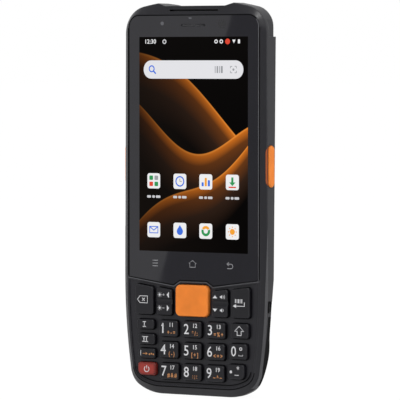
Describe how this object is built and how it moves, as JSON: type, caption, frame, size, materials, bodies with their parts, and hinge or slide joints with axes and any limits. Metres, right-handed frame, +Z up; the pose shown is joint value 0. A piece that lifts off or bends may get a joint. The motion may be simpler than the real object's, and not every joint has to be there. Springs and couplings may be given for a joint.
{
  "type": "portable barcode data terminal",
  "caption": "Upright rugged handheld data terminal: glass-fronted display, scan key and keypad, side scan buttons, scanner window, hinged battery cover with a slide latch.",
  "frame": {"origin": "bottom centre of the bounding box, on the flat bottom edge the terminal stands on", "axes": "+Z up the length towards the scanner window, +Y from the keys and display to the back, +X the user's right"},
  "size_m": [0.0698, 0.0178, 0.159],
  "materials": {
    "front_plastic": "satin",
    "rear_plastic": "satin",
    "cover_glass": "plain",
    "display": "satin",
    "tape": "satin",
    "fine_mesh": "plain",
    "dark_part": "satin",
    "lens_barrel": "satin",
    "light_pipe": "satin",
    "silicone": "satin",
    "spring_metal": "plain",
    "circuit_board": "satin",
    "scanner_window": "satin",
    "battery_wrap": "satin",
    "latch_plastic": "satin",
    "lens_window": "plain",
    "flash_lens": "satin",
    "gold_contact": "plain",
    "screw_metal": "plain",
    "key_plastic": "satin",
    "orange_key": "satin",
    "red_key": "satin"
  },
  "bodies": {
    "housing": {"front_housing": "front_plastic", "rear_housing": "rear_plastic", "cover_glass": "cover_glass", "display_module": "display", "display_gasket": "tape", "earpiece_mesh": "fine_mesh", "earpiece_receiver": "dark_part", "front_camera": "lens_barrel", "status_led": "light_pipe", "keypad_mat": "silicone", "key_domes": "spring_metal", "keypad_board": "circuit_board", "side_switches": "dark_part", "main_board": "circuit_board", "shield_cans": "spring_metal", "scan_engine": "dark_part", "scanner_window": "scanner_window", "battery_pack": "battery_wrap", "battery_contacts": "dark_part", "rear_camera": "lens_barrel", "camera_window": "lens_window", "flash_led": "flash_lens", "loudspeaker": "dark_part", "usb_connector": "spring_metal", "charging_contacts": "gold_contact", "vibration_motor": "spring_metal", "housing_screws": "screw_metal", "board_screws": "screw_metal", "housing_seal": "silicone"},
    "key_1": {"key_1": "key_plastic"},
    "key_2": {"key_2": "key_plastic"},
    "key_3": {"key_3": "key_plastic"},
    "key_4": {"key_4": "key_plastic"},
    "key_5": {"key_5": "key_plastic"},
    "key_6": {"key_6": "key_plastic"},
    "key_7": {"key_7": "key_plastic"},
    "key_8": {"key_8": "key_plastic"},
    "key_9": {"key_9": "key_plastic"},
    "key_scan": {"key_scan": "orange_key"},
    "key_delete": {"key_delete": "key_plastic"},
    "key_enter": {"key_enter": "key_plastic"},
    "key_p1": {"key_p1": "key_plastic"},
    "key_p2": {"key_p2": "key_plastic"},
    "key_mode": {"key_mode": "key_plastic"},
    "key_power": {"key_power": "red_key"},
    "key_fn": {"key_fn": "key_plastic"},
    "key_0": {"key_0": "key_plastic"},
    "key_point": {"key_point": "key_plastic"},
    "rocker_left": {"rocker_left": "key_plastic"},
    "rocker_right": {"rocker_right": "key_plastic"},
    "scan_button_right": {"scan_button_right": "orange_key"},
    "scan_button_left": {"scan_button_left": "orange_key"},
    "battery_cover": {"battery_cover": "rear_plastic"},
    "cover_latch": {"cover_latch": "latch_plastic"}
  },
  "joints": [
    {"name": "key_1_press", "type": "slide", "parent": "housing", "child": "key_1", "axis": [0, 1, 0], "range_m": [0, 0.0005], "stiffness_N_per_m": 120},
    {"name": "key_2_press", "type": "slide", "parent": "housing", "child": "key_2", "axis": [0, 1, 0], "range_m": [0, 0.0005], "stiffness_N_per_m": 120},
    {"name": "key_3_press", "type": "slide", "parent": "housing", "child": "key_3", "axis": [0, 1, 0], "range_m": [0, 0.0005], "stiffness_N_per_m": 120},
    {"name": "key_4_press", "type": "slide", "parent": "housing", "child": "key_4", "axis": [0, 1, 0], "range_m": [0, 0.0005], "stiffness_N_per_m": 120},
    {"name": "key_5_press", "type": "slide", "parent": "housing", "child": "key_5", "axis": [0, 1, 0], "range_m": [0, 0.0005], "stiffness_N_per_m": 120},
    {"name": "key_6_press", "type": "slide", "parent": "housing", "child": "key_6", "axis": [0, 1, 0], "range_m": [0, 0.0005], "stiffness_N_per_m": 120},
    {"name": "key_7_press", "type": "slide", "parent": "housing", "child": "key_7", "axis": [0, 1, 0], "range_m": [0, 0.0005], "stiffness_N_per_m": 120},
    {"name": "key_8_press", "type": "slide", "parent": "housing", "child": "key_8", "axis": [0, 1, 0], "range_m": [0, 0.0005], "stiffness_N_per_m": 120},
    {"name": "key_9_press", "type": "slide", "parent": "housing", "child": "key_9", "axis": [0, 1, 0], "range_m": [0, 0.0005], "stiffness_N_per_m": 120},
    {"name": "key_scan_press", "type": "slide", "parent": "housing", "child": "key_scan", "axis": [0, 1, 0], "range_m": [0, 0.0005], "stiffness_N_per_m": 120},
    {"name": "key_delete_press", "type": "slide", "parent": "housing", "child": "key_delete", "axis": [0, 1, 0], "range_m": [0, 0.0005], "stiffness_N_per_m": 120},
    {"name": "key_enter_press", "type": "slide", "parent": "housing", "child": "key_enter", "axis": [0, 1, 0], "range_m": [0, 0.0005], "stiffness_N_per_m": 120},
    {"name": "key_p1_press", "type": "slide", "parent": "housing", "child": "key_p1", "axis": [0, 1, 0], "range_m": [0, 0.0005], "stiffness_N_per_m": 120},
    {"name": "key_p2_press", "type": "slide", "parent": "housing", "child": "key_p2", "axis": [0, 1, 0], "range_m": [0, 0.0005], "stiffness_N_per_m": 120},
    {"name": "key_mode_press", "type": "slide", "parent": "housing", "child": "key_mode", "axis": [0, 1, 0], "range_m": [0, 0.0005], "stiffness_N_per_m": 120},
    {"name": "key_power_press", "type": "slide", "parent": "housing", "child": "key_power", "axis": [0, 1, 0], "range_m": [0, 0.0005], "stiffness_N_per_m": 120},
    {"name": "key_fn_press", "type": "slide", "parent": "housing", "child": "key_fn", "axis": [0, 1, 0], "range_m": [0, 0.0005], "stiffness_N_per_m": 120},
    {"name": "key_0_press", "type": "slide", "parent": "housing", "child": "key_0", "axis": [0, 1, 0], "range_m": [0, 0.0005], "stiffness_N_per_m": 120},
    {"name": "key_point_press", "type": "slide", "parent": "housing", "child": "key_point", "axis": [0, 1, 0], "range_m": [0, 0.0005], "stiffness_N_per_m": 120},
    {"name": "rocker_left_tilt", "type": "hinge", "parent": "housing", "child": "rocker_left", "pos_m": [-0.0134, -0.0063, 0.03792], "axis": [1, 0, 0], "range_deg": [-2.5, 2.5], "stiffness_Nm_per_rad": 0.0015},
    {"name": "rocker_right_tilt", "type": "hinge", "parent": "housing", "child": "rocker_right", "pos_m": [0.0134, -0.0063, 0.03792], "axis": [1, 0, 0], "range_deg": [-2.5, 2.5], "stiffness_Nm_per_rad": 0.0015},
    {"name": "scan_button_right_press", "type": "slide", "parent": "housing", "child": "scan_button_right", "axis": [-1, 0, 0], "range_m": [0, 0.0004], "stiffness_N_per_m": 120},
    {"name": "scan_button_left_press", "type": "slide", "parent": "housing", "child": "scan_button_left", "axis": [1, 0, 0], "range_m": [0, 0.0004], "stiffness_N_per_m": 120},
    {"name": "battery_cover_swing", "type": "hinge", "parent": "housing", "child": "battery_cover", "pos_m": [0, 0.0089, 0.11035], "axis": [1, 0, 0], "range_deg": [0, 30]},
    {"name": "cover_latch_slide", "type": "slide", "parent": "battery_cover", "child": "cover_latch", "axis": [0, 0, -1], "range_m": [0, 0.0025]}
  ]
}
